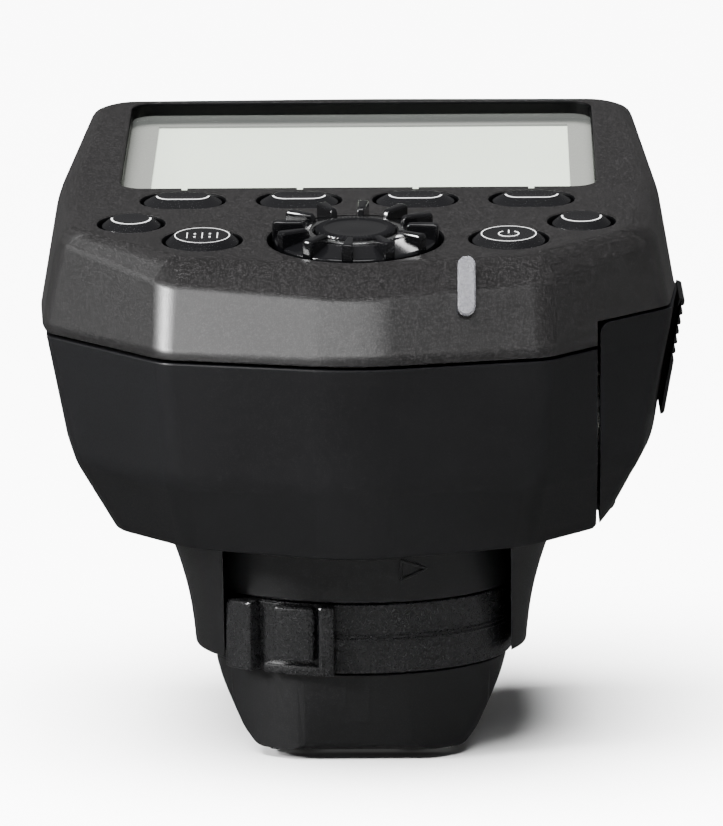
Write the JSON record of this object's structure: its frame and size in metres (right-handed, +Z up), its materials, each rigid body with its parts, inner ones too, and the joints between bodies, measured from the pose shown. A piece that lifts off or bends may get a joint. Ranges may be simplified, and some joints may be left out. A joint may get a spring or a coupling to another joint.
{
  "type": "wireless flash trigger",
  "caption": "Wireless flash trigger with a tilted screen and control panel, jog wheel, soft keys, battery door, lock ring and shoe foot.",
  "frame": {"origin": "middle of the foot's lower face, on the axis of the neck", "axes": "+Z up through the neck, -Y towards the user who reads the screen, +X to that user's right"},
  "size_m": [0.0657, 0.0731, 0.0614],
  "materials": {
    "shell_speckled": "satin charcoal plastic with fine metallic fleck",
    "lower_satin": "satin near-black plastic",
    "neck_satin": "satin near-black plastic",
    "key_plastic": "semi-gloss black",
    "wheel_gloss": "glossy black",
    "wheel_metal": "bright trim",
    "screen_glass": "clear",
    "mask_print": "grey print",
    "lcd_glass": "grey-green reflective display",
    "frame_plastic": "white moulded frame",
    "board": "green solder mask",
    "tin": "tin-plated steel",
    "steel": "steel",
    "gold": "gold plated",
    "rubber": "matte black",
    "pipe": "translucent white",
    "dark_plastic": "black moulding",
    "cell_can": "plain wrapped cell",
    "flex": "amber flexible circuit",
    "foot_metal": "anodised",
    "black_steel": "black oxide screws"
  },
  "bodies": {
    "body": {"upper_shell": "shell_speckled", "lower_shell": "lower_satin", "door_hinge_pin": "steel", "screen_window": "screen_glass", "screen_mask": "mask_print", "lcd_panel": "lcd_glass", "lcd_frame": "frame_plastic", "wheel_encoder": "dark_plastic", "key_switches": "tin", "control_board": "board", "main_board": "board", "radio_module": "tin", "antenna": "gold", "beeper": "dark_plastic", "light_pipe": "pipe", "status_led": "frame_plastic", "battery_front": "cell_can", "battery_rear": "cell_can", "battery_tray": "dark_plastic", "battery_springs": "tin", "sync_socket": "dark_plastic", "usb_socket": "tin", "neck_housing": "neck_satin", "neck_flex": "flex", "lock_pin_spring": "steel", "base_housing": "neck_satin", "foot_plate": "foot_metal", "contact_block": "dark_plastic", "case_screws": "black_steel", "neck_screws": "steel", "foot_screws": "steel"},
    "battery_door": {"battery_door": "lower_satin", "door_contact": "tin"},
    "door_latch": {"door_latch": "dark_plastic"},
    "jog_wheel": {"jog_wheel": "wheel_gloss", "wheel_trim_ring": "wheel_metal"},
    "wheel_button": {"wheel_button": "key_plastic"},
    "port_cover": {"port_cover": "rubber"},
    "lock_ring": {"lock_ring": "shell_speckled"},
    "lock_pin": {"lock_pin": "steel"},
    "centre_contact": {"centre_contact": "gold"},
    "round_button_left": {"round_button_left": "key_plastic"},
    "round_button_right": {"round_button_right": "key_plastic"},
    "menu_button": {"menu_button": "key_plastic"},
    "power_button": {"power_button": "key_plastic"},
    "soft_key_1": {"soft_key_1": "key_plastic"},
    "data_contact_1": {"data_contact_1": "gold"},
    "soft_key_2": {"soft_key_2": "key_plastic"},
    "data_contact_2": {"data_contact_2": "gold"},
    "soft_key_3": {"soft_key_3": "key_plastic"},
    "data_contact_3": {"data_contact_3": "gold"},
    "soft_key_4": {"soft_key_4": "key_plastic"},
    "data_contact_4": {"data_contact_4": "gold"}
  },
  "joints": [
    {"name": "door_swing", "type": "hinge", "parent": "body", "child": "battery_door", "pos_m": [0.0249, 0.0055, 0.0243], "axis": [0, 1, 0], "range_deg": [0, 100]},
    {"name": "latch_slide", "type": "slide", "parent": "battery_door", "child": "door_latch", "axis": [-0.1822, 0, -0.9833], "range_m": [0, 0.003]},
    {"name": "soft_key_1_press", "type": "slide", "parent": "body", "child": "soft_key_1", "axis": [0, 0.1392, -0.9903], "range_m": [0, 0.0005], "stiffness_N_per_m": 500, "springref_m": -0.0001},
    {"name": "soft_key_2_press", "type": "slide", "parent": "body", "child": "soft_key_2", "axis": [0, 0.1392, -0.9903], "range_m": [0, 0.0005], "stiffness_N_per_m": 500, "springref_m": -0.0001},
    {"name": "soft_key_3_press", "type": "slide", "parent": "body", "child": "soft_key_3", "axis": [0, 0.1392, -0.9903], "range_m": [0, 0.0005], "stiffness_N_per_m": 500, "springref_m": -0.0001},
    {"name": "soft_key_4_press", "type": "slide", "parent": "body", "child": "soft_key_4", "axis": [0, 0.1392, -0.9903], "range_m": [0, 0.0005], "stiffness_N_per_m": 500, "springref_m": -0.0001},
    {"name": "round_button_left_press", "type": "slide", "parent": "body", "child": "round_button_left", "axis": [0, 0.1392, -0.9903], "range_m": [0, 0.0005], "stiffness_N_per_m": 500, "springref_m": -0.0001},
    {"name": "round_button_right_press", "type": "slide", "parent": "body", "child": "round_button_right", "axis": [0, 0.1392, -0.9903], "range_m": [0, 0.0005], "stiffness_N_per_m": 500, "springref_m": -0.0001},
    {"name": "menu_button_press", "type": "slide", "parent": "body", "child": "menu_button", "axis": [0, 0.1392, -0.9903], "range_m": [0, 0.0005], "stiffness_N_per_m": 500, "springref_m": -0.0001},
    {"name": "power_button_press", "type": "slide", "parent": "body", "child": "power_button", "axis": [0, 0.1392, -0.9903], "range_m": [0, 0.0005], "stiffness_N_per_m": 500, "springref_m": -0.0001},
    {"name": "wheel_turn", "type": "hinge", "parent": "body", "child": "jog_wheel", "pos_m": [0, -0.01838, 0.05361], "axis": [0, -0.1392, 0.9903], "continuous": true},
    {"name": "wheel_button_press", "type": "slide", "parent": "body", "child": "wheel_button", "axis": [0, 0.1392, -0.9903], "range_m": [0, 0.0005], "stiffness_N_per_m": 500, "springref_m": -0.0001},
    {"name": "port_cover_swing", "type": "hinge", "parent": "body", "child": "port_cover", "pos_m": [-0.02985, 0.0271, 0.0482], "axis": [0, 0, -1], "range_deg": [0, 85]},
    {"name": "lock_ring_turn", "type": "hinge", "parent": "body", "child": "lock_ring", "pos_m": [0, 0, 0.0125], "axis": [0, 0, 1], "range_deg": [0, 60]},
    {"name": "lock_pin_drop", "type": "slide", "parent": "body", "child": "lock_pin", "axis": [0, 0, -1], "range_m": [0, 0.0018], "deforming": ["lock_pin_spring"]},
    {"name": "centre_contact_press", "type": "slide", "parent": "body", "child": "centre_contact", "axis": [0, 0, 1], "range_m": [0, 0.0004], "stiffness_N_per_m": 200, "springref_m": -0.0002},
    {"name": "data_contact_1_press", "type": "slide", "parent": "body", "child": "data_contact_1", "axis": [0, 0, 1], "range_m": [0, 0.0004], "stiffness_N_per_m": 200, "springref_m": -0.0002},
    {"name": "data_contact_2_press", "type": "slide", "parent": "body", "child": "data_contact_2", "axis": [0, 0, 1], "range_m": [0, 0.0004], "stiffness_N_per_m": 200, "springref_m": -0.0002},
    {"name": "data_contact_3_press", "type": "slide", "parent": "body", "child": "data_contact_3", "axis": [0, 0, 1], "range_m": [0, 0.0004], "stiffness_N_per_m": 200, "springref_m": -0.0002},
    {"name": "data_contact_4_press", "type": "slide", "parent": "body", "child": "data_contact_4", "axis": [0, 0, 1], "range_m": [0, 0.0004], "stiffness_N_per_m": 200, "springref_m": -0.0002}
  ],
  "couplings": [
    {"joint": "lock_pin_drop", "follows": "lock_ring_turn", "m_per_rad": 0.00171}
  ]
}
